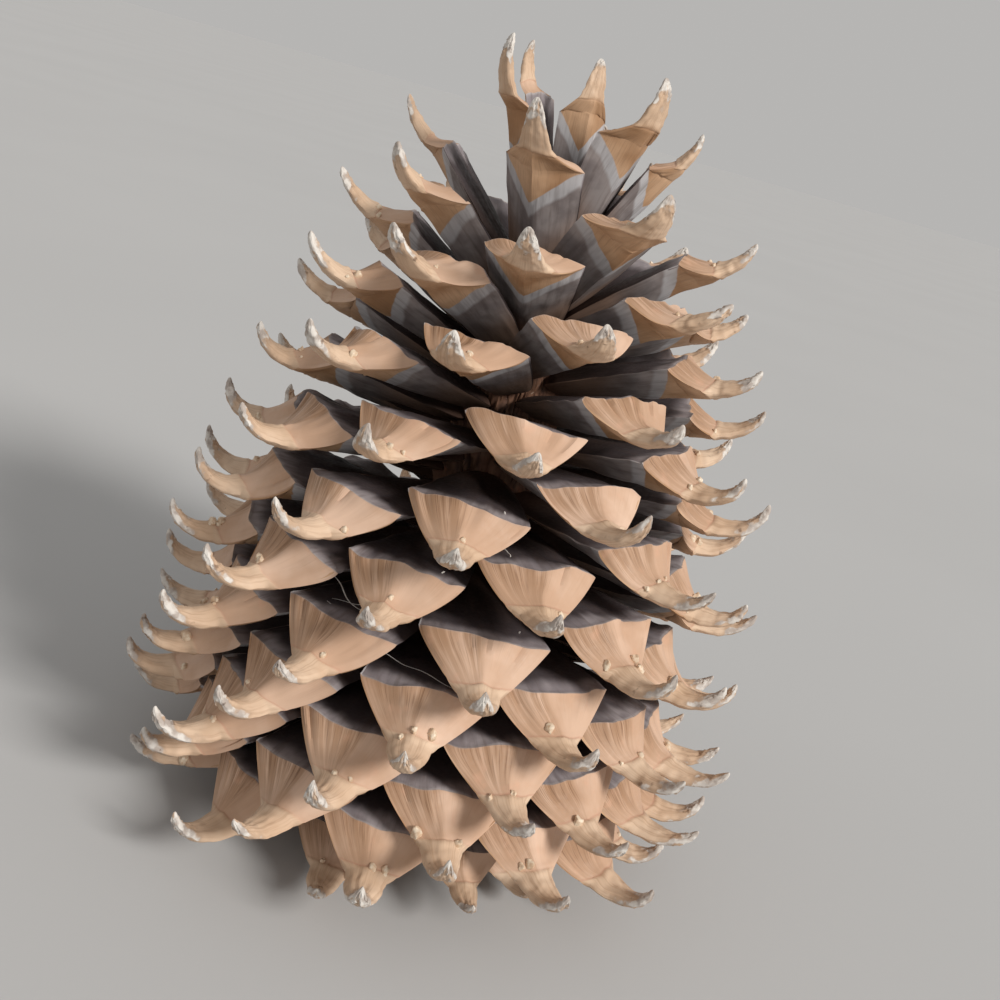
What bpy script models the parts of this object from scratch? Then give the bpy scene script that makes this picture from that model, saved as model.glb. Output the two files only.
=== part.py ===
"""Open pine cone of the big-cone kind, standing on its base.

The woody axis is turned. Every seed scale is one loft: a thin wedge that widens outward,
a blunt fan-shaped end face, and a claw that hooks upward. The scales follow one spiral
from the base to the tip and also line up in thirteen steep rows. The scales of a row are
joined at their roots by the narrow rib that runs down the axis, so each row is one solid.
The axis stands along +Z, and the origin is the middle of the flat stalk scar.
"""

import math

import bmesh
import bpy
from mathutils import Matrix, Vector

MM = 0.001

# Spiral of the scales, counted from the base upward. The full spiral would end at SPIRAL_SPAN,
# but its last scales are the irregular ones round the tip.
SPIRAL_SPAN = 142
SPIRAL_COUNT = 123
ROW_COUNT = 13
BASAL_COUNT = 9
DIVERGENCE = math.radians(137.67)
FIRST_AZIMUTH = math.radians(174.7)

# Heights at which the lowest and the highest scale leave the axis.
FIRST_ROOT_HEIGHT = 17 * MM
LAST_ROOT_HEIGHT = 177 * MM
ROOT_HEIGHT_POWER = 1.14

# Pitch of the scales above the horizontal, from the drooping base to the erect tip.
BASE_PITCH = math.radians(-7)
TIP_PITCH = math.radians(86)
PITCH_POWER = 4.2

# Distance of the scale ends from the axis.
END_RADIUS = 64.5 * MM
TIP_SHARE = 0.29
TAPER_START = 0.08
TAPER_POWER = 2.6
BASE_INSET = 0.22

# The end face of a full-size scale, and how its size follows the cone's girth.
SCALE_WIDTH = 30 * MM
SIZE_POWER = 0.5
CLAW_SIZE_POWER = 0.8

# Woody axis, stalk and the ribs that join the roots of a row.
AXIS_RADIUS = 13 * MM
AXIS_TIP_RADIUS = 3 * MM
AXIS_TAPER_POWER = 3.0
AXIS_BOTTOM = 19 * MM
AXIS_END = 149 * MM
AXIS_TOP = 189 * MM
TUFT_AXIS_END = 176 * MM
STALK_RADIUS = 11 * MM
STALK_FOOT_RADIUS = 14 * MM
STALK_FOOT_HEIGHT = 2 * MM
STALK_WAIST_SHARE = 0.5
GAP = 0.35 * MM
RIB_SHARE = 0.15
RIB_OVERHANG = 3
ROOT_BREADTH_SHARE = 0.8

# Thirteen steps of the spiral are five turns less this small angle, the lean of a row.
ROW_TURN = 5 * 2 * math.pi - ROW_COUNT * DIVERGENCE

# Sections of a full-size scale, in mm: distance past the rim, centre height, rise above it
# and drop below it, then the breadth, as a share of the scale's width or for the claw in mm.
RIM_SECTIONS = ((-6.0, 0.0, 6.6, 4.2, 0.92), (0.0, 0.0, 8.0, 6.0, 1.0))
CLAW_SECTIONS = ((8.0, -3.4, 2.6, 3.2, 11.0), (15.0, -2.2, 1.9, 2.6, 7.0))
CLAW_TIP = (20.5, 6.5)
ROOT_THICKNESS = 1.5
CORNER_SHARE = 0.6
KEEL_SHOULDER = 0.25

# One stunted scale low on the front, against the size and reach it would have.
STUNTED_INDEX = 7
STUNTED_SIZE = 0.72
STUNTED_REACH = 0.9

# Irregular scales round the tip: azimuth and pitch in degrees, reach from the root in mm,
# then the size of the face and of the claw against a full-size scale.
TIP_SCALES = (
    (168, 43, 41, 0.54, 0.80),
    (35, 62, 30, 0.50, 0.60),
    (252, 57, 36, 0.64, 0.70),
    (118, 66, 30, 0.48, 0.55),
    (351, 61, 37, 0.52, 0.62),
    (211, 67, 40, 0.44, 0.95),
    (70, 74, 28, 0.45, 0.50),
    (315, 69, 37, 0.56, 0.76),
    (151, 71, 39, 0.42, 0.70),
    (293, 98, 35, 0.40, 0.70),
)

# Erect scales are as long as one of this pitch that ends at the same distance.
STEEPEST_REACH = math.radians(45)
INNER_ROOT_SHARE = 0.5

WOBBLE_ANGLE = math.radians(1.6)
WOBBLE_SIZE = 0.04

STANDARD_COLOURS = {
    "scale": ((0.52, 0.33, 0.18, 1.0), 0.62),
    "tip": ((0.42, 0.24, 0.12, 1.0), 0.62),
    "axis": ((0.07, 0.035, 0.022, 1.0), 0.85),
    "stalk": ((0.10, 0.05, 0.03, 1.0), 0.85),
}


def clear_scene():
    for existing in list(bpy.data.objects):
        bpy.data.objects.remove(existing, do_unlink=True)


def make_collection(name):
    collection = bpy.data.collections.new(name)
    bpy.context.scene.collection.children.link(collection)
    return collection


def make_material(name, kind):
    colour, roughness = STANDARD_COLOURS[kind]
    material = bpy.data.materials.new(name)
    material.use_nodes = True
    shader = material.node_tree.nodes["Principled BSDF"]
    shader.inputs["Base Color"].default_value = colour
    shader.inputs["Roughness"].default_value = roughness
    shader.inputs["Metallic"].default_value = 0.0
    return material


def wobble(index, salt):
    """A repeatable number between -1 and 1 for a scale."""
    value = math.sin(12.9898 * index + 78.233 * salt) * 43758.5453
    return 2 * (value - math.floor(value)) - 1


def rise(index):
    """How far up the spiral a scale is, from 0 at the base to 1 at the tip."""
    return index / SPIRAL_SPAN


def root_height(index):
    share = math.copysign(abs(rise(index)) ** ROOT_HEIGHT_POWER, rise(index))
    return FIRST_ROOT_HEIGHT + (LAST_ROOT_HEIGHT - FIRST_ROOT_HEIGHT) * share


def azimuth(index):
    return FIRST_AZIMUTH - DIVERGENCE * index


def pitch(index):
    return BASE_PITCH + (TIP_PITCH - BASE_PITCH) * max(rise(index), 0) ** PITCH_POWER


def end_radius(index):
    """Distance of a scale's rim from the axis: full low down, tapering to the tip."""
    above = max(rise(index) - TAPER_START, 0) / (1 - TAPER_START)
    below = max(TAPER_START - rise(index), 0) / TAPER_START
    return END_RADIUS * (1 - (1 - TIP_SHARE) * above ** TAPER_POWER) * (1 - BASE_INSET * below**2)


def axis_radius(height):
    share = min(max(height / AXIS_TOP, 0), 1)
    return AXIS_TIP_RADIUS + (AXIS_RADIUS - AXIS_TIP_RADIUS) * (1 - share**AXIS_TAPER_POWER)


def rib_radius(height):
    return RIB_SHARE * (axis_radius(height) + AXIS_TIP_RADIUS)


def rib_centre(height):
    return axis_radius(height) + GAP + rib_radius(height)


def ring(x, centre, up, down, width):
    """Section across a scale: nearly flat on top, with sharp corners and a keel below."""
    half = width / 2
    outline = (
        (half, up * CORNER_SHARE),
        (half / 2, up),
        (-half / 2, up),
        (-half, up * CORNER_SHARE),
        (-half / 2, -down * KEEL_SHOULDER),
        (0, -down),
        (half / 2, -down * KEEL_SHOULDER),
    )
    return [Vector((x, across, centre + height)) for across, height in outline]


def scale_sections(root, root_breadth, length, size, claw_size):
    """Rings from the root to the claw, and the claw's point."""
    width = SCALE_WIDTH * size
    thickness = ROOT_THICKNESS * MM * size
    rings = [ring(root, 0, thickness, thickness, root_breadth)]
    for past, *section, share in RIM_SECTIONS:
        rings.append(ring(length + past * MM * size, *sized(section, size), share * width))
    for past, *section, breadth in CLAW_SECTIONS:
        x = length + past * MM * claw_size
        rings.append(ring(x, *sized(section, claw_size), breadth * MM * claw_size))
    past, height = sized(CLAW_TIP, claw_size)
    return rings, Vector((length + past, 0, height))


def sized(values, size):
    """Millimetre values of a full-size scale at this scale's size, in metres."""
    return [value * MM * size for value in values]


def loft(rings, tip):
    """Closed mesh through the rings, flat at the root and pointed at the tip."""
    shape = bmesh.new()
    rows = [[shape.verts.new(point) for point in points] for points in rings]
    point = shape.verts.new(tip)
    shape.faces.new(rows[0])
    for low, high in zip(rows, rows[1:]):
        for step in range(len(low)):
            after = (step + 1) % len(low)
            shape.faces.new((low[step], high[step], high[after], low[after]))
    for step, corner in enumerate(rows[-1]):
        shape.faces.new((corner, point, rows[-1][(step + 1) % len(rows[-1])]))
    bmesh.ops.triangulate(shape, faces=shape.faces)
    bmesh.ops.recalc_face_normals(shape, faces=shape.faces)
    return shape


def spiral_scale(index, root):
    """Azimuth, pitch, reach, size and claw size of a scale on the regular spiral."""
    girth = end_radius(index) / END_RADIUS
    size = girth**SIZE_POWER * (1 + WOBBLE_SIZE * wobble(index, 3))
    reach = (end_radius(index) - root) / math.cos(min(pitch(index), STEEPEST_REACH))
    if index == STUNTED_INDEX:
        size *= STUNTED_SIZE
        reach *= STUNTED_REACH
    turn = azimuth(index) + WOBBLE_ANGLE * wobble(index, 1)
    tilt = pitch(index) + WOBBLE_ANGLE * wobble(index, 2)
    return turn, tilt, reach, size, size**CLAW_SIZE_POWER


def tip_scale(index):
    """The same five values for one of the irregular scales round the tip."""
    turn, tilt, reach, size, claw_size = TIP_SCALES[index - SPIRAL_COUNT]
    return math.radians(turn), math.radians(tilt), reach * MM, size, claw_size


def scale_object(index, name, collection, root_share):
    """One seed scale, rooted at a share of its rib's distance from the axis."""
    height = root_height(index)
    root = rib_centre(height) * root_share
    form = spiral_scale(index, root) if index < SPIRAL_COUNT else tip_scale(index)
    turn, tilt, reach, size, claw_size = form
    root_breadth = 2 * rib_radius(height) * ROOT_BREADTH_SHARE
    shape = loft(*scale_sections(root, root_breadth, root + reach, size, claw_size))
    hinge = Matrix.Translation((root, 0, height))
    swing = Matrix.Rotation(-tilt, 4, "Y")
    straight = Matrix.Translation((-root, 0, 0))
    shape.transform(Matrix.Rotation(turn, 4, "Z") @ hinge @ swing @ straight)
    mesh = bpy.data.meshes.new(name)
    shape.to_mesh(mesh)
    shape.free()
    scale = bpy.data.objects.new(name, mesh)
    collection.objects.link(scale)
    scale.hide_render = True
    scale.display_type = "WIRE"
    return scale


def rib_mesh(name, indices):
    """Rib down the axis through the roots of one row, as a capped tube."""
    path = bpy.data.curves.new(name, "CURVE")
    path.dimensions = "3D"
    path.bevel_depth = 1.0
    path.bevel_resolution = 1
    path.use_fill_caps = True
    stops = [indices[0] - RIB_OVERHANG, *indices, indices[-1] + RIB_OVERHANG]
    spline = path.splines.new("POLY")
    spline.points.add(len(stops) - 1)
    for point, stop in zip(spline.points, stops):
        height = root_height(stop)
        radius = rib_centre(height)
        turn = azimuth(indices[0]) + ROW_TURN * (stop - indices[0]) / ROW_COUNT
        point.co = (radius * math.cos(turn), radius * math.sin(turn), height, 1)
        point.radius = rib_radius(height)
    holder = bpy.data.objects.new(name + "_path", path)
    bpy.context.scene.collection.objects.link(holder)
    bpy.context.view_layer.update()
    evaluated = holder.evaluated_get(bpy.context.evaluated_depsgraph_get())
    mesh = bpy.data.meshes.new_from_object(evaluated)
    bpy.data.objects.remove(holder, do_unlink=True)
    welded = bmesh.new()
    welded.from_mesh(mesh)
    bmesh.ops.remove_doubles(welded, verts=welded.verts, dist=1e-6)
    bmesh.ops.recalc_face_normals(welded, faces=welded.faces)
    welded.to_mesh(mesh)
    welded.free()
    return mesh


def join_scales(target, name, indices, cutters, root_share=1.0):
    """Join the scales with these indices to the target by one Boolean union."""
    group = bpy.data.collections.new(name + "_scales")
    cutters.children.link(group)
    for index in indices:
        scale_object(index, f"{name}_helper_{index + BASAL_COUNT:03d}", group, root_share)
    union = target.modifiers.new("scales", "BOOLEAN")
    union.operation = "UNION"
    union.solver = "EXACT"
    union.operand_type = "COLLECTION"
    union.collection = group


def turned(name, profile, collection, steps=24):
    """Solid turned about the axis from a profile that runs top to bottom."""
    outline = bmesh.new()
    points = [outline.verts.new((radius, 0, height)) for radius, height in profile]
    for first, second in zip(points, points[1:]):
        outline.edges.new((first, second))
    mesh = bpy.data.meshes.new(name)
    outline.to_mesh(mesh)
    outline.free()
    solid = bpy.data.objects.new(name, mesh)
    collection.objects.link(solid)
    screw = solid.modifiers.new("turn", "SCREW")
    screw.steps = steps
    screw.render_steps = steps
    screw.use_merge_vertices = True
    screw.merge_threshold = 1e-6
    return solid


def axis_profile(bottom, top, steps):
    """Outline of a length of the axis, top to bottom, closed on the centre line."""
    heights = [top - (top - bottom) * step / steps for step in range(steps + 1)]
    return [(0, top), *((axis_radius(height), height) for height in heights), (0, bottom)]


def build_axis(collection):
    axis = turned("core_axis", axis_profile(AXIS_BOTTOM, AXIS_END, 12), collection)
    axis.data.materials.append(make_material("axis_wood", "axis"))


def build_tuft(collection, cutters):
    """Erect scales at the tip, joined to the end of the axis that carries them."""
    profile = axis_profile(AXIS_END + GAP, TUFT_AXIS_END, 4)
    tuft = turned("tip_tuft", profile, collection, 12)
    tuft.data.materials.append(make_material("tip_wood", "tip"))
    indices = range(SPIRAL_COUNT, SPIRAL_COUNT + len(TIP_SCALES))
    join_scales(tuft, "tip_tuft", indices, cutters, INNER_ROOT_SHARE)


def build_stalk(collection, cutters):
    top = AXIS_BOTTOM - GAP
    profile = [
        (0, top),
        (STALK_RADIUS, top),
        (STALK_RADIUS, top * STALK_WAIST_SHARE),
        (STALK_FOOT_RADIUS, STALK_FOOT_HEIGHT),
        (STALK_FOOT_RADIUS, 0),
        (0, 0),
    ]
    stalk = turned("stalk_base", profile, collection)
    stalk.data.materials.append(make_material("stalk_wood", "stalk"))
    join_scales(stalk, "stalk_base", range(-BASAL_COUNT, 0), cutters, INNER_ROOT_SHARE)


def build_rows(collection, cutters):
    """Thirteen rows of scales up the cone, each joined by its rib."""
    for row in range(ROW_COUNT):
        name = f"scale_row_{row + 1:02d}"
        indices = list(range(row, SPIRAL_COUNT, ROW_COUNT))
        mesh = rib_mesh(name, indices)
        rib = bpy.data.objects.new(name, mesh)
        collection.objects.link(rib)
        rib.data.materials.append(make_material(name + "_wood", "scale"))
        join_scales(rib, name, indices, cutters)


def main():
    clear_scene()
    cone = make_collection("pine_cone")
    cutters = make_collection("scale_helpers")
    build_axis(cone)
    build_stalk(cone, cutters)
    build_rows(cone, cutters)
    build_tuft(cone, cutters)


main()
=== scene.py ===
"""Looks of the open pine cone: every woody scale as its own finished piece.

Each scale is a closed loft. A dark wedge widens from the axis to the margin, a tan fan-shaped
face falls from the margin to a raised boss, and a stout claw curves out and hooks upward.
Scales sit where the CAD rows carry them: the placement repeats part.py's spiral.
Lengths are in mm until a piece is made, which turns them into metres.
"""

import math

import bpy
import numpy as np
from mathutils import Matrix, Vector


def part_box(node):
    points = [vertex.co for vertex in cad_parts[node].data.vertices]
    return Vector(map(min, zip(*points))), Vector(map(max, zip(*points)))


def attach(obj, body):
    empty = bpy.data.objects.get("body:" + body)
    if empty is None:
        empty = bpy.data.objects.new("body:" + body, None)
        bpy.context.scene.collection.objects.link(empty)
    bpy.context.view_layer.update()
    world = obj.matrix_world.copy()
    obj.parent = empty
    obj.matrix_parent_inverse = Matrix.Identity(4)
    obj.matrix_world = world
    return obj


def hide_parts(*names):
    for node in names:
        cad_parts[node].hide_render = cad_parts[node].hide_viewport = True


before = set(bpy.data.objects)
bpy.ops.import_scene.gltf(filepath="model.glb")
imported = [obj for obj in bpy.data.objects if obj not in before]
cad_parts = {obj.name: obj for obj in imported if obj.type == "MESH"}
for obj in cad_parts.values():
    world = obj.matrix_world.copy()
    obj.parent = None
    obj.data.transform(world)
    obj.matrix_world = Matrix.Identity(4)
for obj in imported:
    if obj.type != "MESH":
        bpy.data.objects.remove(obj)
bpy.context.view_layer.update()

MM = 0.001

# The spiral, as in part.py.
SPIRAL_SPAN = 142
SPIRAL_COUNT = 123
ROW_COUNT = 13
BASAL_COUNT = 9
DIVERGENCE = math.radians(137.67)
FIRST_AZIMUTH = math.radians(174.7)
FIRST_ROOT_HEIGHT = 17.0
LAST_ROOT_HEIGHT = 177.0
ROOT_HEIGHT_POWER = 1.14
BASE_PITCH = math.radians(-7)
TIP_PITCH = math.radians(86)
PITCH_POWER = 4.2
END_RADIUS = 64.5
TIP_SHARE = 0.29
TAPER_START = 0.08
TAPER_POWER = 2.6
BASE_INSET = 0.22
AXIS_RADIUS = 13.0
AXIS_TIP_RADIUS = 3.0
AXIS_TAPER_POWER = 3.0
AXIS_TOP = 189.0
TUFT_AXIS_END = 176.0
GAP = 0.35
RIB_SHARE = 0.15
STEEPEST_REACH = math.radians(45)
WOBBLE_ANGLE = math.radians(1.6)
WOBBLE_SIZE = 0.04

# One stunted scale low on the front, as in part.py.
STUNTED_INDEX = 7
STUNTED_SIZE = 0.72
STUNTED_REACH = 0.9

# Irregular scales round the tip, as in part.py: azimuth and pitch in degrees, reach in mm,
# then the size of the face and of the claw.
TIP_SCALES = (
    (168, 43, 41, 0.54, 0.80),
    (35, 62, 30, 0.50, 0.60),
    (252, 57, 36, 0.64, 0.70),
    (118, 66, 30, 0.48, 0.55),
    (351, 61, 37, 0.52, 0.62),
    (211, 67, 40, 0.44, 0.95),
    (70, 74, 28, 0.45, 0.50),
    (315, 69, 37, 0.56, 0.76),
    (151, 71, 39, 0.42, 0.70),
    (293, 98, 35, 0.40, 0.70),
)

# A full-size scale: its sections at the root, at the margin (rim) and at the boss, then the claw.
SCALE_WIDTH = 32.0
SIZE_POWER = 0.5
CLAW_SIZE_POWER = 0.8
ROOT_HALF = 5.4
ROOT_RISE = 1.7
ROOT_EDGE = 0.2
RIM_RISE = 5.7
RIM_DROP = 5.4
RIM_CORNER = 4.8
MARGIN_BOW = 2.7
FACE_LENGTH = 8.2
BOSS_HALF = 5.2
BOSS_TOP = -0.6
BOSS_CENTRE = -3.0
CLAW_LENGTH = 17.5
CLAW_START_ANGLE = math.radians(-6)
CLAW_END_ANGLE = math.radians(84)
CLAW_CURVE = 1.5
EDGE_THICKNESS = 0.45

# How a scale changes from an open one to an erect one at the tip: the value for each.
BODY_FULLNESS = (0.58, 0.30)
BODY_TOP_POWER = (1.2, 0.35)
BODY_EDGE_POWER = (1.5, 0.40)
BODY_KEEL_POWER = (0.75, 0.40)
ROOT_HALF_GAIN = (1.0, 1.35)
ROOT_RISE_GAIN = (1.0, 2.2)
BOSS_GAIN = (1.0, 1.2)
CLAW_LENGTH_GAIN = (1.0, 0.85)
CLAW_BEND_GAIN = (1.0, 0.40)
CLAW_POINT_POWER = (12.0, 7.0)
CLAW_NARROWING = (0.88, 0.66)
CLAW_NARROW_POWER = (1.25, 0.90)
CLAW_THINNING = (0.74, 0.60)
ERECT_FROM = 0.5
ERECT_TO = 0.9

# How the face and the claw are shaped, and how much that differs from scale to scale.
FACE_HOLLOW_POWER = 1.55
FACE_HOLLOW_CHANGE = 0.2
FACE_FLANK_POWER = 1.06
FACE_FLANK_CHANGE = 0.14
FACE_KEEL_SWELL = 0.5
RIDGE_HEIGHT = 4.3
RIDGE_AT_MARGIN = 0.7
RIDGE_LEAN = 0.22
BOSS_ROUNDNESS = 0.45
CLAW_LENGTH_CHANGE = 0.12
CLAW_BEND_CHANGE = 0.18
CLAW_SIDEWAYS = 2.6

# Relief of the wood on a full-size scale, in mm.
MARGIN_BAND = 3.5
MARGIN_WAVES = 1.1
MARGIN_RIPPLES = 0.6
MARGIN_SCALLOPS = 0.8
CHIP_HEIGHT = 0.8
CHIP_DEPTH = 1.2
FACE_GRAIN = 0.11
BODY_GRAIN = 0.10
SWELLS = 0.38
CREASE_PLACE = 7.9
CREASE_BOW = 1.9
CREASE_LIP = 0.32
CREASE_DEPTH = 0.26
CLAW_KNOBS = 0.22
CLAW_FURROWS = 0.22
CLAW_CRUST = 0.30

# Dried resin drops on a full-size scale: how many, and their radius in mm.
DROP_COUNT = 1.5
DROP_COUNT_CHANGE = 1.4
DROP_RADIUS = 0.95
DROP_RADIUS_CHANGE = 0.45
DROP_LUMPS = 0.42

# Axis, stalk and threads, in mm.
CUSHION_HEIGHT = 3.4
CUSHION_HALF_WIDTH = 2.7
CUSHION_ABOVE = 2.2
CUSHION_BELOW = 6.5
CORE_LUMPS = 0.9
CORE_FIBRES = 0.45
STALK_RADIUS = 11.2
STALK_FLARE = 2.6
STALK_CHAMFER = 0.8
THREAD_RADIUS = 0.22
THREAD_SAG = 2.0
THREAD_WANDER = 1.6

# Pairs of scales with a silk thread between them.
THREADS = ((49, 57), (62, 54), (70, 57), (57, 65), (83, 75), (41, 54))

BODY_STATIONS = 30
FACE_STATIONS = 26
CLAW_STATIONS = 34
SIDE_STEPS = 30
THREAD_STATIONS = 40
SHARP_ANGLE = math.radians(38)

# What every point of a scale tells its material: mm past the margin, place across the fan, which
# side it is on, how crusted (with a painted highlight along the claw's edges), mm past the crease, the
# scale's tone, resin or not, and how erect.
CHANNELS = ("along", "fan", "under", "crust_and_edge_highlight", "growth", "tone", "resin", "erect")


# Repeatable numbers ------------------------------------------------------------------


def wobble(index, salt):
    """A repeatable number between -1 and 1 for a scale."""
    value = math.sin(12.9898 * index + 78.233 * salt) * 43758.5453
    return 2 * (value - math.floor(value)) - 1


def lattice(x, y, z, seed):
    """Random value between -1 and 1 at whole-number points."""
    mixed = x * 374761393 + y * 668265263 + z * 2147483629 + seed * 974634777
    mixed = (mixed ^ (mixed >> 13)) & 0xFFFFFFFF
    mixed = (mixed * 1274126177) & 0xFFFFFFFF
    mixed = (mixed ^ (mixed >> 16)) & 0xFFFF
    return mixed / 32767.5 - 1


def noise(x, y, z, seed=0):
    """Smooth noise between -1 and 1."""
    x, y, z = np.broadcast_arrays(*(np.asarray(value, float) for value in (x, y, z)))
    base = [np.floor(value).astype(np.int64) for value in (x, y, z)]
    blend = [value - corner for value, corner in zip((x, y, z), base)]
    blend = [value * value * (3 - 2 * value) for value in blend]
    total = 0
    for corner in range(8):
        steps = [(corner >> axis) & 1 for axis in range(3)]
        weight = 1
        for step, share in zip(steps, blend):
            weight = weight * (share if step else 1 - share)
        total = total + weight * lattice(*(low + step for low, step in zip(base, steps)), seed)
    return total


def smooth(low, high, value):
    """Goes smoothly from 0 to 1 as the value goes from low to high."""
    share = np.clip((value - low) / (high - low), 0, 1)
    return share * share * (3 - 2 * share)


# Placement ---------------------------------------------------------------------------


def rise(index):
    return index / SPIRAL_SPAN


def root_height(index):
    share = math.copysign(abs(rise(index)) ** ROOT_HEIGHT_POWER, rise(index))
    return FIRST_ROOT_HEIGHT + (LAST_ROOT_HEIGHT - FIRST_ROOT_HEIGHT) * share


def pitch(index):
    return BASE_PITCH + (TIP_PITCH - BASE_PITCH) * max(rise(index), 0) ** PITCH_POWER


def end_radius(index):
    above = max(rise(index) - TAPER_START, 0) / (1 - TAPER_START)
    below = max(TAPER_START - rise(index), 0) / TAPER_START
    return END_RADIUS * (1 - (1 - TIP_SHARE) * above**TAPER_POWER) * (1 - BASE_INSET * below**2)


def axis_radius(height):
    share = min(max(height / AXIS_TOP, 0), 1)
    return AXIS_TIP_RADIUS + (AXIS_RADIUS - AXIS_TIP_RADIUS) * (1 - share**AXIS_TAPER_POWER)


def rib_centre(height):
    return axis_radius(height) + RIB_SHARE * (axis_radius(height) + AXIS_TIP_RADIUS)


def azimuth(index):
    return FIRST_AZIMUTH - DIVERGENCE * index + WOBBLE_ANGLE * wobble(index, 1)


def node_of(index):
    if index < 0:
        return "stalk_base"
    if index >= SPIRAL_COUNT:
        return "tip_tuft"
    return f"scale_row_{index % ROW_COUNT + 1:02d}"


class Placement:
    """Where one scale sits, and how big it is."""

    def __init__(self, index):
        self.height = root_height(index)
        if index < SPIRAL_COUNT:
            self.tilt = pitch(index) + WOBBLE_ANGLE * wobble(index, 2)
            self.turn = azimuth(index)
            self.root = rib_centre(self.height) * (0.9 if index >= 0 else 0.5)
            self.reach = (end_radius(index) - self.root) / math.cos(min(pitch(index), STEEPEST_REACH))
            girth = end_radius(index) / END_RADIUS
            self.size = girth**SIZE_POWER * (1 + WOBBLE_SIZE * wobble(index, 3))
            if index == STUNTED_INDEX:
                self.size *= STUNTED_SIZE
                self.reach *= STUNTED_REACH
            self.claw = self.size**CLAW_SIZE_POWER
        else:
            turn, tilt, self.reach, self.size, self.claw = TIP_SCALES[index - SPIRAL_COUNT]
            self.turn, self.tilt = math.radians(turn), math.radians(tilt)
            self.root = rib_centre(self.height) * 0.5
        self.boss = math.sqrt(self.size * self.claw)
        self.erect = float(smooth(ERECT_FROM, ERECT_TO, rise(index)))

    def between(self, pair):
        """The scale's own value, between those of an open scale and of an erect one."""
        opened, upright = pair
        return opened + (upright - opened) * self.erect

    def place(self, points):
        """Scale points in mm (outward from the root, across, up) to metres in the row frame."""
        out, across, up = points.T
        cos, sin = math.cos(self.tilt), math.sin(self.tilt)
        radius = self.root + out * cos - up * sin
        height = self.height + out * sin + up * cos
        cos, sin = math.cos(self.turn), math.sin(self.turn)
        x = radius * cos - across * sin
        y = radius * sin + across * cos
        return np.stack([x, y, height], 1) * MM


# One scale ---------------------------------------------------------------------------


def body_profile(spot):
    """From the root to the margin: a wedge that widens and deepens."""
    share = 1 - (1 - np.linspace(0, 1, BODY_STATIONS)) ** 1.7
    root_half = ROOT_HALF * spot.between(ROOT_HALF_GAIN)
    root_rise = ROOT_RISE * spot.between(ROOT_RISE_GAIN)
    half = root_half + (SCALE_WIDTH / 2 - root_half) * share ** spot.between(BODY_FULLNESS)
    up = root_rise + (RIM_RISE - root_rise) * share ** spot.between(BODY_TOP_POWER)
    edge = ROOT_EDGE + (RIM_CORNER - ROOT_EDGE) * share ** spot.between(BODY_EDGE_POWER)
    down = root_rise + (RIM_DROP - root_rise) * share ** spot.between(BODY_KEEL_POWER)
    return {
        "x": share * spot.reach,
        "z": 0 * share,
        "angle": 0 * share,
        "half": half * spot.size,
        "up": up * spot.size,
        "edge": edge * spot.size,
        "down": down * spot.size,
        "bow": MARGIN_BOW * spot.size * share**2,
        "ridge": RIDGE_AT_MARGIN * smooth(0.75, 1.0, share),
        "round": 0 * share,
        "along": (share - 1) * spot.reach,
        "claw_share": 0 * share,
    }


def face_profile(index, spot, boss_half):
    """From the margin to the boss: a ridged fan that narrows to the foot of the claw."""
    share = np.linspace(0, 1, FACE_STATIONS + 1)[1:] ** 1.2
    centre = BOSS_CENTRE * share**1.5
    hollow = FACE_HOLLOW_POWER + FACE_HOLLOW_CHANGE * wobble(index, 4)
    top = BOSS_TOP + (RIM_RISE - BOSS_TOP) * (1 - share) ** hollow
    crest = (RIM_RISE - RIM_CORNER) * (1 - share) + RIDGE_HEIGHT * share**0.6 * (1 - 0.22 * share)
    bottom = RIM_DROP + FACE_KEEL_SWELL * np.sin(math.pi / 2 * share)
    flank = FACE_FLANK_POWER + FACE_FLANK_CHANGE * wobble(index, 8)
    height = spot.size * (1 + (spot.boss / spot.size - 1) * share**2)
    return {
        "x": spot.reach + FACE_LENGTH * share * spot.size,
        "z": centre * spot.size,
        "angle": CLAW_START_ANGLE * share,
        "half": boss_half + (SCALE_WIDTH / 2 * spot.size - boss_half) * (1 - share) ** flank,
        "up": (top - centre) * height,
        "edge": (top - crest - centre) * height,
        "down": (bottom + centre) * height,
        "bow": MARGIN_BOW * spot.size * (1 - share) ** 1.5,
        "ridge": RIDGE_AT_MARGIN + (1 - RIDGE_AT_MARGIN) * smooth(0, 0.3, share),
        "round": smooth(0.6, 1.0, share) * BOSS_ROUNDNESS,
        "along": FACE_LENGTH * share,
        "claw_share": 0 * share,
    }


def claw_profile(index, spot, foot):
    """From the boss to the claw's tip: the face's last section, bent upward and drawn to a point."""
    share = 1 - (1 - np.linspace(0, 1, CLAW_STATIONS + 1)[1:]) ** 1.35
    length = CLAW_LENGTH * spot.claw * spot.between(CLAW_LENGTH_GAIN)
    step = np.diff(share, prepend=0) * length * (1 + CLAW_LENGTH_CHANGE * wobble(index, 5))
    end_angle = CLAW_END_ANGLE * spot.between(CLAW_BEND_GAIN) * (1 + CLAW_BEND_CHANGE * wobble(index, 6))
    angle = CLAW_START_ANGLE + (end_angle - CLAW_START_ANGLE) * share**CLAW_CURVE
    point = np.sqrt(np.clip(1 - share ** spot.between(CLAW_POINT_POWER), 0, 1))
    narrowing = spot.between(CLAW_NARROWING) * share ** spot.between(CLAW_NARROW_POWER)
    thin = (1 - spot.between(CLAW_THINNING) * share**1.1) * point
    return {
        "x": foot["x"] + np.cumsum(np.cos(angle) * step),
        "z": foot["z"] + np.cumsum(np.sin(angle) * step),
        "angle": angle,
        "half": foot["half"] * (1 - narrowing) * point,
        "up": foot["up"] * thin,
        "edge": foot["edge"] * thin,
        "down": foot["down"] * thin,
        "bow": 0 * share,
        "ridge": 1 - 0.3 * share,
        "round": BOSS_ROUNDNESS + 0.45 * smooth(0, 0.4, share),
        "along": FACE_LENGTH + share * CLAW_LENGTH,
        "claw_share": share,
    }


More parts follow.
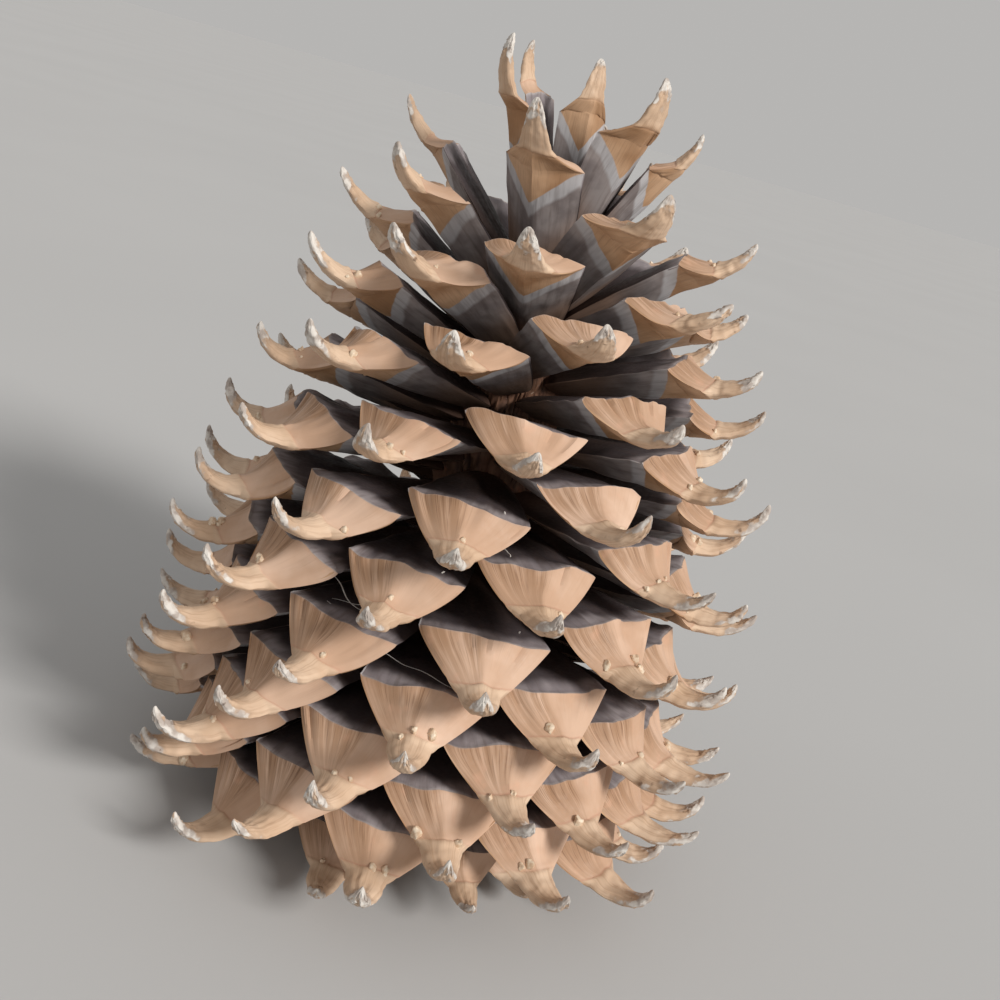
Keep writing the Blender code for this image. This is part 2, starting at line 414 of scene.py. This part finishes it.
def stations(index, spot):
    """Centre line and sections of a scale, from the root to the claw's tip, in mm.

    x and z are the centre line, and angle is its slope. half is the half width. up, edge and down
    are how far the skin is from the centre line in the middle of the top, at the sides and in the
    middle of the underside. bow is how far the sides lag behind the middle. ridge says how sharp the
    top is, and round how oval the section is. along is the distance past the margin.
    """
    body = body_profile(spot)
    face = face_profile(index, spot, BOSS_HALF * spot.boss * spot.between(BOSS_GAIN))
    foot = {key: values[-1] for key, values in face.items()}
    claw = claw_profile(index, spot, foot)
    return {key: np.concatenate([body[key], face[key], claw[key]])[:, None] for key in body}


def across_steps():
    """Across positions round a section, +1 to -1 over the top and back underneath."""
    even = np.linspace(1, -1, SIDE_STEPS + 1)
    eased = np.cos(np.linspace(0, math.pi, SIDE_STEPS + 1))
    top = 0.55 * even + 0.45 * eased
    return np.concatenate([top[:-1], -top[:-1]]), np.repeat([0.0, 1.0], SIDE_STEPS)


def plain_section(profile, q, under, ridge_q):
    """Smooth skin above the centre line: a ridged wedge that turns oval on the claw."""
    edge, rounded = profile["edge"], profile["round"]
    oval = np.sqrt(np.clip(1 - q * q, 0, 1))
    flat_top = 1 - np.abs(ridge_q) ** (2.0 - 0.9 * profile["ridge"])
    flat_bottom = 1 - np.abs(q) ** 1.15
    top = edge + (profile["up"] - edge) * (flat_top + (oval - flat_top) * rounded)
    bottom = edge - (profile["down"] + edge) * (flat_bottom + (oval - flat_bottom) * rounded)
    return np.where(under > 0.5, bottom, top)


def margin_relief(q, along, under, seed):
    """How far the margin is lifted and pushed out: it dips, waves and has lost small chips."""
    still = 0 * q
    near = np.exp(-((along / MARGIN_BAND) ** 2))
    waves = MARGIN_WAVES * noise(q * 1.5 + 7.1, still, still, seed)
    waves = waves + MARGIN_RIPPLES * noise(q * 4, still, still, seed)
    chips = np.clip(noise(q * 7, still, still, seed + 2) - 0.28, 0, 1)
    lift = near * (waves - CHIP_HEIGHT * chips) * np.where(under > 0.5, 0.3, 1.0)
    push = near * (MARGIN_SCALLOPS * noise(q * 2.6, still, still, seed + 5) - CHIP_DEPTH * chips)
    return lift, push


def claw_relief(q, along, under, tip, seed):
    """The claw is knobbly, furrowed lengthwise and crusty at its end."""
    knobs = noise(q * 2.4, along * 0.42, under * 5 + 3, seed)
    knobs = knobs + 0.5 * noise(q * 5, along * 0.9, under * 5, seed)
    furrows = noise(q * 4.5, along * 0.07, under * 5 + 8, seed)
    crust = noise(q * 5, along * 1.5, under * 7 + 2, seed + 6)
    crust = crust + 0.6 * noise(q * 9, along * 2.8, under * 7, seed + 7)
    rough = CLAW_KNOBS * knobs + CLAW_FURROWS * furrows * (1 - 0.5 * tip)
    return rough + CLAW_CRUST * crust * smooth(0.45, 0.8, tip)


def scale_surface(index, spot):
    """Vertex grid of a scale (stations by ring) in its own frame, with its looks channels."""
    profile = stations(index, spot)
    q, under = (values[None, :] for values in across_steps())
    seed = index + 40
    along, size, tip = profile["along"], spot.size, profile["claw_share"]
    outward = np.where(under > 0.5, -1.0, 1.0)

    # The ridge of the face runs from near the middle of the margin to the claw.
    lean = RIDGE_LEAN * wobble(index, 9) * (1 - smooth(0, FACE_LENGTH, along))
    ridge_q = np.where(q > lean, (q - lean) / (1 - lean), (q - lean) / (1 + lean))
    offset = plain_section(profile, q, under, ridge_q)
    offset = offset + outward * EDGE_THICKNESS * size * (1 - np.abs(q) ** 8) * (1 - profile["round"])
    lift, push = margin_relief(q, along, under, seed)
    offset = offset + lift * size

    # The grain fans out over the face and the body, which also swell and sink a little.
    grain = noise(q * 13, along * 0.12, under * 9, seed)
    grain = grain + 0.6 * noise(q * 27, along * 0.2, under * 9, seed)
    face_share = smooth(-0.2, 0.6, along) * (1 - smooth(6.0, 9.0, along))
    body_share = (1 - smooth(-1.0, 0.0, along)) * smooth(-40, -15, along)
    offset = offset + grain * (FACE_GRAIN * face_share + BODY_GRAIN * body_share)
    swells = noise(q * 2.2 + 3.1, along * 0.22, under * 6, seed + 11)
    offset = offset + outward * SWELLS * swells * (face_share + body_share) * size

    # A crease with a raised lip parts the face from the claw.
    growth = along - (CREASE_PLACE - CREASE_BOW * q * q + 0.5 * noise(q * 2, 0 * q, under, seed + 4))
    lip = CREASE_LIP * np.exp(-(((growth - 0.9) / 1.1) ** 2))
    crease = CREASE_DEPTH * np.exp(-((growth / 0.4) ** 2))
    offset = offset + outward * (lip - crease) * size

    on_claw = smooth(8.0, 11.0, along) * (1 - tip**10)
    offset = offset + outward * on_claw * claw_relief(q, along, under, tip, seed) * spot.claw
    half = profile["half"] * (1 + 0.07 * on_claw * noise(along * 0.5, under * 0, 0 * q, seed + 3))

    x = profile["x"] - np.sin(profile["angle"]) * offset - profile["bow"] * q * q + push * size
    y = q * half + CLAW_SIDEWAYS * wobble(index, 7) * tip**1.7 * spot.claw
    z = profile["z"] + np.cos(profile["angle"]) * offset
    points = np.stack(np.broadcast_arrays(x, y, z), -1)
    crust_and_edge_highlight = tip + 0.24 * noise(q * 2.2, along * 0.35, under * 4, seed + 9)
    # Painted highlight: the claw's side edges get extra pale crust where a ridge catches the light, on top
    # of the real crust at the tip.
    crust_and_edge_highlight = crust_and_edge_highlight + 0.30 * np.abs(q) ** 5 * smooth(0.1, 0.5, tip)
    channels = {"along": along, "fan": ridge_q, "under": under, "crust_and_edge_highlight": crust_and_edge_highlight, "growth": growth}
    return points, {name: np.broadcast_to(value, x.shape) for name, value in channels.items()}


def grid_faces(rows, columns):
    """Quads of a closed tube of vertex rings, with each corner's place on the unrolled tube."""
    row, column = np.meshgrid(np.arange(rows - 1), np.arange(columns), indexing="ij")
    row, column = row.ravel(), column.ravel()
    after = (column + 1) % columns
    near, far = row * columns, (row + 1) * columns
    quads = np.stack([near + column, near + after, far + after, far + column], 1)
    corners = ((column, row), (column + 1, row), (column + 1, row + 1), (column, row + 1))
    spots = np.stack([np.stack(corner, 1) for corner in corners], 1)
    return quads, spots.astype(float)


class Builder:
    """Collects tubes into one mesh, with a channel value for every vertex."""

    def __init__(self, names):
        self.points, self.polygons, self.uvs = [], [], []
        self.channels = {name: [] for name in names}
        self.count = 0

    def add_tube(self, grid, channels, window):
        """A vertex grid closed at both ends. The window is its part of the unwrapped sheet."""
        rows, columns = grid.shape[:2]
        quads, spots = grid_faces(rows, columns)
        left, low, right, high = window
        scale = np.array([(right - left) / columns, (high - low) / (rows - 1)])
        self.polygons += (quads + self.count).tolist()
        self.uvs.append((spots * scale + np.array([left, low])).reshape(-1, 2))
        fan_corners = (np.arange(columns)[:, None] + [[0.1, 0.9, 0.5]]) / columns
        for end, level in ((0, low), (1, high)):
            centre = self.count + rows * columns + end
            ring = np.arange(columns) + end * (rows - 1) * columns + self.count
            after = np.roll(ring, -1)
            firsts, seconds = (ring, after) if end else (after, ring)
            self.polygons += [[int(a), int(b), centre] for a, b in zip(firsts, seconds)]
            fan = np.full((columns, 3, 2), level)
            fan[:, :, 0] = left + (right - left) * fan_corners
            self.uvs.append(fan.reshape(-1, 2))
        ends = np.stack([grid[0].mean(0), grid[-1].mean(0)])
        self.points.append(np.concatenate([grid.reshape(-1, 3), ends]))
        for name, values in self.channels.items():
            value = np.broadcast_to(channels[name], (rows, columns))
            values.append(np.concatenate([value.ravel(), [value[0].mean(), value[-1].mean()]]))
        self.count += rows * columns + 2

    def make(self, name, place, material):
        mesh = bpy.data.meshes.new(name)
        mesh.from_pydata(place(np.concatenate(self.points)).tolist(), [], self.polygons)
        sheet = mesh.uv_layers.new(name="OFBake")
        sheet.data.foreach_set("uv", np.concatenate(self.uvs).ravel())
        for channel, values in self.channels.items():
            attribute = mesh.attributes.new(channel, "FLOAT", "POINT")
            attribute.data.foreach_set("value", np.concatenate(values))
        mesh.shade_smooth()
        mesh.set_sharp_from_angle(angle=SHARP_ANGLE)
        mesh.materials.append(material)
        piece = bpy.data.objects.new(name, mesh)
        bpy.context.scene.collection.objects.link(piece)
        return piece


# Materials ---------------------------------------------------------------------------


def linear(red, green, blue):
    """Shader colour of a screen colour given as 0 to 255."""
    values = (value / 255 for value in (red, green, blue))
    return tuple(v / 12.92 if v <= 0.04045 else ((v + 0.055) / 1.055) ** 2.4 for v in values) + (1.0,)


class Shader:
    """Short calls for building a node material."""

    def __init__(self, name):
        self.material = bpy.data.materials.new(name)
        self.material.use_nodes = True
        self.nodes = self.material.node_tree.nodes
        self.links = self.material.node_tree.links
        self.surface = self.nodes["Principled BSDF"]

    def plug(self, socket, value):
        if isinstance(value, bpy.types.NodeSocket):
            self.links.new(value, socket)
        else:
            socket.default_value = value

    def channel(self, name):
        node = self.nodes.new("ShaderNodeAttribute")
        node.attribute_name = name
        return node.outputs["Fac"]

    def math(self, operation, first, second=0.0, third=0.0):
        """A calculation. MULTIPLY_ADD is first x second + third."""
        node = self.nodes.new("ShaderNodeMath")
        node.operation = operation
        for socket, value in zip(node.inputs, (first, second, third)):
            self.plug(socket, value)
        return node.outputs[0]

    def ramp(self, value, low, high, start=0.0, end=1.0):
        """Goes smoothly from start to end as the value goes from low to high."""
        node = self.nodes.new("ShaderNodeMapRange")
        node.interpolation_type = "SMOOTHSTEP"
        names = ("Value", "From Min", "From Max", "To Min", "To Max")
        for name, setting in zip(names, (value, low, high, start, end)):
            self.plug(node.inputs[name], setting)
        return node.outputs["Result"]

    def mix(self, share, first, second):
        """The first colour at share 0, the second at share 1."""
        node = self.nodes.new("ShaderNodeMix")
        node.data_type = "RGBA"
        self.plug(node.inputs["Factor"], share)
        self.plug(node.inputs[6], first)
        self.plug(node.inputs[7], second)
        return node.outputs[2]

    def vector(self, x, y, z):
        node = self.nodes.new("ShaderNodeCombineXYZ")
        for socket, value in zip(node.inputs, (x, y, z)):
            self.plug(socket, value)
        return node.outputs[0]

    def position(self):
        """The point in metres in the scene, as no piece is moved after it is made."""
        return self.nodes.new("ShaderNodeTexCoord").outputs["Object"]

    def noise(self, vector, scale, detail=2.0, roughness=0.5):
        node = self.nodes.new("ShaderNodeTexNoise")
        self.plug(node.inputs["Vector"], vector)
        node.inputs["Scale"].default_value = scale
        node.inputs["Detail"].default_value = detail
        node.inputs["Roughness"].default_value = roughness
        return node.outputs["Fac"]

    def done(self, colour, roughness):
        self.plug(self.surface.inputs["Base Color"], colour)
        self.plug(self.surface.inputs["Roughness"], roughness)
        self.surface.inputs["Specular IOR Level"].default_value = 0.3
        return self.material


def scale_wood():
    """Tan face with painted shade on one facet, tan claw, brown lower facets, grey band, body that painted
    shadow turns charcoal towards the axis, crusty pale tip with a painted highlight along the claw's edges.
    """
    s = Shader("scale_wood")
    along, fan, under, crust_and_edge_highlight, growth, tone, resin, erect = (s.channel(name) for name in CHANNELS)
    place = s.position()
    spread = s.math("ABSOLUTE", fan)
    lot = s.math("MULTIPLY", tone, 37.0)
    below = s.ramp(under, 0.4, 0.6)
    back = s.math("MULTIPLY", along, -1.0)

    streak_along = s.math("MULTIPLY", along, 0.07)
    streak_at = s.vector(s.math("MULTIPLY", fan, 9.0), streak_along, s.math("ADD", lot, under))
    streak = s.noise(streak_at, 1.0, 3.0, 0.6)
    fine_at = s.vector(s.math("MULTIPLY", fan, 46.0), s.math("MULTIPLY", along, 0.16), lot)
    fine = s.noise(fine_at, 1.0, 2.0, 0.55)
    cloud = s.noise(place, 75.0, 3.0)
    patch = s.noise(place, 190.0, 2.0)
    speck = s.noise(place, 900.0, 2.0)

    # The face: pinkish tan, finely streaked towards the margin. Painted shade makes the facet on the shaded
    # side of the ridge browner, most near the margin, and darkens the grain's fine streaks on it.
    tan = s.mix(s.ramp(cloud, 0.38, 0.64), linear(199, 164, 138), linear(218, 187, 164))
    tan = s.mix(s.ramp(tone, 0.0, 1.0, 0.0, 0.45), tan, linear(192, 157, 130))
    # The facet on the shaded side of the ridge, which gets painted shade.
    side = s.ramp(fan, 0.12, -0.12)
    fade = s.ramp(growth, 0.5, -8.5)
    # Painted shade: that facet is mixed towards dark brown with streaky edges, most near the margin.
    shade = s.math("MULTIPLY", s.math("MULTIPLY_ADD", side, 0.80, 0.08), s.ramp(streak, 0.24, 0.60))
    tan = s.mix(s.math("MULTIPLY", shade, s.math("MULTIPLY_ADD", fade, 0.6, 0.4)), tan, linear(154, 119, 90))
    # Fine dark grain streaks, strongest on the shaded facet: real grain with painted shade.
    fine_streaks_and_painted_shade = s.math("MULTIPLY", fade, s.math("MULTIPLY_ADD", side, 0.7, 0.1))
    tan = s.mix(s.math("MULTIPLY", s.ramp(fine, 0.50, 0.72), fine_streaks_and_painted_shade), tan, linear(112, 80, 56))
    tan = s.mix(s.ramp(patch, 0.60, 0.80, 0.0, 0.35), tan, linear(212, 164, 136))

    # The crease round the claw's foot is thin and pink. Past it the wood is a little yellower.
    line = s.math("ABSOLUTE", s.math("ADD", growth, s.math("MULTIPLY_ADD", patch, 0.6, -0.3)))
    horn = s.mix(s.ramp(cloud, 0.3, 0.7), linear(202, 173, 145), linear(220, 195, 169))
    horn = s.mix(s.ramp(streak, 0.45, 0.7, 0.0, 0.5), horn, linear(162, 130, 103))
    tan = s.mix(s.ramp(growth, -0.3, 1.0, 0.0, 0.8), tan, horn)
    pink = s.math("MULTIPLY", s.ramp(line, 0.40, 0.05), s.ramp(tone, 0.2, 0.8, 0.08, 0.34))
    tan = s.mix(pink, tan, linear(182, 130, 110))

    # Lower facets of the face are duller and browner.
    brown = s.mix(s.ramp(cloud, 0.34, 0.66), linear(166, 127, 93), linear(206, 170, 137))
    brown = s.mix(s.ramp(fine, 0.45, 0.75, 0.0, 0.35), brown, linear(132, 101, 78))
    tan = s.mix(s.math("MULTIPLY", below, s.ramp(growth, 3.0, -1.5)), tan, brown)

    # The tip: grey-brown first, then a broken pale crust, which along the claw's edges is partly a painted
    # highlight.
    crust_at = s.math("ADD", crust_and_edge_highlight, s.math("MULTIPLY_ADD", s.noise(place, 520.0, 3.0), 0.7, -0.35))
    crust_at = s.math("ADD", crust_at, s.math("MULTIPLY_ADD", tone, 0.24, -0.12))
    tan = s.mix(s.ramp(crust_at, 0.46, 0.76, 0.0, 0.5), tan, linear(168, 142, 120))
    flakes = s.ramp(s.noise(place, 360.0, 3.0), 0.40, 0.60)
    pale = s.mix(flakes, linear(178, 169, 162), linear(222, 218, 212))
    tan = s.mix(s.ramp(crust_at, 0.72, 0.88, 0.0, 0.9), tan, pale)
    pits = s.ramp(s.noise(place, 430.0, 2.0), 0.64, 0.74)
    tan = s.mix(s.math("MULTIPLY", pits, s.ramp(crust_and_edge_highlight, 0.3, 0.6, 0.0, 0.6)), tan, linear(92, 68, 54))

    # Upper side of the body: a grey crescent behind the margin, then painted shadow of the scale above,
    # darkening it towards the axis.
    sway_at = s.vector(s.math("MULTIPLY", fan, 2.4), lot, under)
    sway = s.math("MULTIPLY_ADD", s.noise(sway_at, 1.0), 9.0, -4.5)
    body_back = s.math("ADD", back, sway)
    smoke = s.noise(place, 150.0, 3.0)
    grey = s.mix(s.ramp(smoke, 0.35, 0.65), linear(134, 126, 129), linear(162, 154, 156))
    # Painted shadow: a few mm back the grey turns dark, then almost black, where the scale above shades it.
    upper = s.mix(s.ramp(body_back, 1.5, 6.5), grey, linear(74, 66, 68))
    upper = s.mix(s.ramp(body_back, 7.0, 22.0), upper, linear(54, 42, 39))
    upper = s.mix(s.ramp(back, 0.9, 0.1, 0.0, 0.6), upper, linear(184, 178, 176))

    # Lower side: a pale grey band that follows the keel, then slate, then brown.
    depth = s.math("MULTIPLY_ADD", erect, 3.0, 6.5)
    keel = s.math("SUBTRACT", back, s.math("MULTIPLY", depth, s.math("SUBTRACT", 1.0, spread)))
    band = s.math("ADD", keel, s.math("MULTIPLY", sway, 0.35))
    slate = s.mix(s.ramp(smoke, 0.35, 0.65), linear(132, 123, 122), linear(162, 153, 151))
    lower = s.mix(s.ramp(band, 3.0, 4.4), linear(190, 188, 190), slate)
    lower = s.mix(s.ramp(band, 8.0, 22.0), lower, linear(150, 123, 107))
    body = s.mix(below, upper, lower)
    body = s.mix(s.ramp(streak, 0.42, 0.72, 0.0, 0.4), body, linear(84, 69, 63))
    body = s.mix(s.ramp(back, 24.0, 42.0, 0.0, 0.7), body, linear(98, 71, 57))

    # Where the tan of the face stops.
    wander = s.math("MULTIPLY_ADD", patch, 1.4, -0.7)
    edge_top = s.ramp(along, -0.25, 0.15)
    edge_low = s.ramp(s.math("ADD", s.math("MULTIPLY", keel, -1.0), wander), -0.15, 0.35)
    share = s.mix(below, edge_top, edge_low)
    colour = s.mix(share, body, tan)
    drop = s.mix(s.ramp(speck, 0.35, 0.7), linear(228, 211, 188), linear(204, 174, 144))
    colour = s.mix(resin, colour, drop)
    rough = s.math("MULTIPLY_ADD", resin, -0.25, s.ramp(speck, 0.3, 0.7, 0.55, 0.75))
    return s.done(colour, rough)


def core_wood():
    """Dark red-brown fibrous axis with pale resin specks."""
    s = Shader("core_wood")
    fibre = s.channel("fibre")
    place = s.position()
    cloud = s.noise(place, 120.0, 4.0, 0.6)
    speck = s.noise(place, 700.0, 2.0)
    colour = s.mix(s.ramp(cloud, 0.35, 0.65), linear(66, 48, 42), linear(116, 82, 66))
    colour = s.mix(s.ramp(fibre, 0.1, 0.9, 0.0, 0.6), colour, linear(150, 112, 88))
    colour = s.mix(s.ramp(s.noise(place, 260.0, 3.0), 0.60, 0.70, 0.0, 0.6), colour, linear(156, 100, 74))
    colour = s.mix(s.ramp(speck, 0.70, 0.78, 0.0, 0.7), colour, linear(190, 172, 156))
    return s.done(colour, s.ramp(cloud, 0.4, 0.6, 0.45, 0.8))


def stalk_wood():
    s = Shader("stalk_wood")
    place = s.position()
    cloud = s.noise(place, 160.0, 4.0, 0.6)
    colour = s.mix(s.ramp(cloud, 0.3, 0.7), linear(92, 66, 50), linear(140, 106, 80))
    colour = s.mix(s.ramp(s.noise(place, 520.0, 2.0), 0.6, 0.75, 0.0, 0.6), colour, linear(60, 42, 34))
    return s.done(colour, 0.8)


def silk_thread():
    s = Shader("silk_thread")
    shade = s.ramp(s.noise(s.position(), 300.0), 0.3, 0.7)
    return s.done(s.mix(shade, linear(236, 233, 228), linear(206, 200, 192)), 0.5)


# Pieces ------------------------------------------------------------------------------


def resin_drop(centre, radius, seed):
    """A small lumpy blob of dried resin as a vertex grid."""
    rows, columns = 10, 14
    tilt = np.linspace(0.12, math.pi - 0.12, rows)[:, None]
    turn = np.linspace(0, 2 * math.pi, columns, endpoint=False)[None, :]
    x, y, z = np.sin(tilt) * np.cos(turn), -np.sin(tilt) * np.sin(turn), -np.cos(tilt)
    unit = np.stack(np.broadcast_arrays(x, y, z), -1)
    lumps = 1 + DROP_LUMPS * noise(unit[..., 0] * 1.6 + seed, unit[..., 1] * 1.6, unit[..., 2] * 1.6, seed)
    return np.asarray(centre) + unit * (radius * lumps)[..., None] * np.array([1.0, 0.9, 1.15])


def build_scale(index, material):
    spot = Placement(index)
    grid, channels = scale_surface(index, spot)
    tone = 0.5 + 0.5 * wobble(index, 11)
    channels.update(tone=tone, resin=0.0, erect=spot.erect)
    builder = Builder(CHANNELS)
    builder.add_tube(grid, channels, (0.01, 0.01, 0.99, 0.92))
    drops = round(DROP_COUNT + DROP_COUNT_CHANGE * wobble(index, 12)) if index < SPIRAL_COUNT else 0
    for drop in range(drops):
        station = BODY_STATIONS + int(FACE_STATIONS * (0.72 + 0.3 * abs(wobble(index, 20 + drop))))
        column = int(SIDE_STEPS * (0.5 + 0.44 * wobble(index, 30 + drop)))
        radius = (DROP_RADIUS + DROP_RADIUS_CHANGE * wobble(index, 40 + drop)) * spot.size
        flat = dict.fromkeys(CHANNELS, 0.0) | {"resin": 1.0, "tone": tone}
        window = (0.02 + 0.3 * drop, 0.94, 0.30 + 0.3 * drop, 0.99)
        builder.add_tube(resin_drop(grid[station, column], radius, index + drop), flat, window)
    piece = builder.make(f"scale_{index + BASAL_COUNT + 1:03d}", spot.place, material)
    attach(piece, "root")
    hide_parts(node_of(index))


def thread_grid(start, end, seed):
    """A thin wandering thread between two points in mm, as a vertex grid."""
    share = np.linspace(0, 1, THREAD_STATIONS)[:, None]
    line = np.asarray(start) + (np.asarray(end) - np.asarray(start)) * share
    bulge = np.sin(math.pi * share)
    line = line + bulge * np.array([[noise(seed, 1, 0), noise(seed, 2, 0), -1.0]]) * THREAD_SAG
    wander = np.stack([noise(share[:, 0] * 4, axis, seed) for axis in range(3)], 1)
    line = line + bulge * wander * THREAD_WANDER
    turn = np.linspace(0, 2 * math.pi, 6, endpoint=False)
    radius = THREAD_RADIUS * (1 - 0.4 * share)
    sides = np.stack([np.cos(turn), 0.6 * np.sin(turn), -0.8 * np.sin(turn)], 1)
    return line[:, None, :] + radius[:, :, None] * sides[None, :, :]


def build_threads(material):
    """Pale silk threads caught between a few of the front scales."""
    builder = Builder(())
    for number, (first, second) in enumerate(THREADS):
        ends = []
        for index, side in ((first, 0.45), (second, -0.35)):
            spot = Placement(index)
            back = 5 + 3 * number % 4
            local = [[spot.reach - back, side * SCALE_WIDTH * spot.size * 0.6, 5.5 * spot.size]]
            ends.append(spot.place(np.array(local))[0] / MM)
        low = 0.01 + number / len(THREADS) * 0.98
        builder.add_tube(thread_grid(*ends, number), {}, (0.01, low, 0.99, low + 0.8 / len(THREADS)))
    piece = builder.make("threads", lambda points: points * MM, material)
    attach(piece, "root")
    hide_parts("core_axis")


def core_surface(bottom, top, rows, columns):
    """Axis with a cushion under every scale's root and fibres running up it."""
    height = np.linspace(bottom, top, rows)[:, None]
    turn = np.linspace(0, 2 * math.pi, columns, endpoint=False)[None, :]
    share = np.clip(height / AXIS_TOP, 0, 1)
    radius = AXIS_TIP_RADIUS + (AXIS_RADIUS - AXIS_TIP_RADIUS) * (1 - share**AXIS_TAPER_POWER)
    girth = radius / AXIS_RADIUS
    cushions = 0 * (height + turn)
    for index in range(SPIRAL_COUNT):
        away = np.angle(np.exp(1j * (turn - azimuth(index)))) * radius
        rise_above = height - root_height(index)
        length = np.where(rise_above > 0, CUSHION_ABOVE, CUSHION_BELOW)
        cushion = np.exp(-((away / CUSHION_HALF_WIDTH) ** 2) - (rise_above / length) ** 2)
        cushions = np.maximum(cushions, cushion)
    x, y = np.cos(turn) * 3, np.sin(turn) * 3
    fibre = noise(x * 9, y * 9, height * 0.25, 5) + 0.7 * noise(x * 20, y * 20, height * 0.5, 6)
    lumps = noise(x * 2, y * 2, height * 0.35, 7)
    outer = radius + girth * (1.0 + CUSHION_HEIGHT * cushions + CORE_LUMPS * lumps) + CORE_FIBRES * fibre
    points = np.stack(np.broadcast_arrays(np.cos(turn) * outer, np.sin(turn) * outer, height), -1)
    return points, np.clip(0.5 + 0.4 * fibre, 0, 1)


def build_core(material):
    low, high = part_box("core_axis")
    grid, fibre = core_surface(low.z / MM, high.z / MM, 330, 200)
    builder = Builder(("fibre",))
    builder.add_tube(grid, {"fibre": fibre}, (0.01, 0.01, 0.99, 0.99))
    piece = builder.make("core", lambda points: points * MM, material)
    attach(piece, "root")
    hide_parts("core_axis")


def build_tip_axis(material):
    """End of the axis inside the tuft of erect scales."""
    core_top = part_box("core_axis")[1].z / MM
    grid, fibre = core_surface(core_top + GAP, TUFT_AXIS_END, 80, 100)
    builder = Builder(("fibre",))
    builder.add_tube(grid, {"fibre": fibre}, (0.01, 0.01, 0.99, 0.99))
    piece = builder.make("core_tip", lambda points: points * MM, material)
    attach(piece, "root")
    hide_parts("tip_tuft")


def build_stalk(material):
    """The stalk's end, flat underneath, up to just inside the axis."""
    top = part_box("core_axis")[0].z / MM
    height = np.concatenate([np.linspace(0, 0.6, 4), np.linspace(0.9, top + 1, 36)])[:, None]
    turn = np.linspace(0, 2 * math.pi, 120, endpoint=False)[None, :]
    radius = STALK_RADIUS + STALK_FLARE * np.exp(-height / 2.5) - STALK_CHAMFER * np.exp(-height / 0.25)
    x, y = np.cos(turn) * 4, np.sin(turn) * 4
    rough = 0.5 * noise(x * 1.6, y * 1.6, height * 0.3, 3) + 0.3 * noise(x * 5, y * 5, height, 4)
    outer = radius + rough * smooth(0, 0.8, height)
    grid = np.stack(np.broadcast_arrays(np.cos(turn) * outer, np.sin(turn) * outer, height), -1)
    builder = Builder(())
    builder.add_tube(grid, {}, (0.01, 0.01, 0.99, 0.99))
    piece = builder.make("stalk", lambda points: points * MM, material)
    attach(piece, "root")
    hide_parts("stalk_base")


# Stage -------------------------------------------------------------------------------


def build_floor():
    bpy.ops.mesh.primitive_circle_add(vertices=96, radius=30.0, fill_type="NGON", location=(0, 0, 0))
    floor = bpy.context.object
    floor.name = "floor"
    s = Shader("floor_paper")
    shade = s.ramp(s.noise(s.position(), 3.0), 0.3, 0.7)
    floor.data.materials.append(s.done(s.mix(shade, linear(184, 184, 184), linear(186, 186, 186)), 0.9))


def build_lights():
    """A soft key from the front right and an even pale sky of the floor's own brightness."""
    lamp = bpy.data.lights.new("key", "SUN")
    lamp.energy = 2.85
    lamp.angle = math.radians(16)
    lamp.color = (1.0, 0.97, 0.93)
    key = bpy.data.objects.new("key", lamp)
    bpy.context.scene.collection.objects.link(key)
    key.rotation_euler = Vector((-0.80, 0.62, -0.68)).to_track_quat("-Z", "Y").to_euler()
    world = bpy.data.worlds.new("studio")
    world.use_nodes = True
    world.node_tree.nodes["Background"].inputs["Color"].default_value = (1.0, 0.984, 0.962, 1.0)
    world.node_tree.nodes["Background"].inputs["Strength"].default_value = 0.47
    bpy.context.scene.world = world


def build_camera():
    """Close, slightly high and rolled a little, as the cone was seen."""
    sensor_width, lens_per_width = 36, 1.1446
    elevation, roll = math.radians(18.66), math.radians(15.77)
    distance, aim = 0.3168, Vector((0.0051, 0, 0.0953))
    forward = Vector((0, math.cos(elevation), -math.sin(elevation)))
    right = Vector((1, 0, 0))
    up = right.cross(forward)
    turn = Matrix((right, up, -forward)).transposed().to_4x4() @ Matrix.Rotation(roll, 4, "Z")
    lens = bpy.data.cameras.new("camera")
    lens.sensor_width = sensor_width
    lens.lens = sensor_width * lens_per_width
    lens.clip_start = 0.01
    camera = bpy.data.objects.new("camera", lens)
    bpy.context.scene.collection.objects.link(camera)
    camera.matrix_world = Matrix.Translation(aim - forward * distance) @ turn
    bpy.context.scene.camera = camera


wood = scale_wood()
for number in range(-BASAL_COUNT, SPIRAL_COUNT + len(TIP_SCALES)):
    build_scale(number, wood)
core_material = core_wood()
build_core(core_material)
build_tip_axis(core_material)
build_stalk(stalk_wood())
build_threads(silk_thread())
build_floor()
build_lights()
build_camera()
bpy.context.scene.view_settings.view_transform = "Standard"
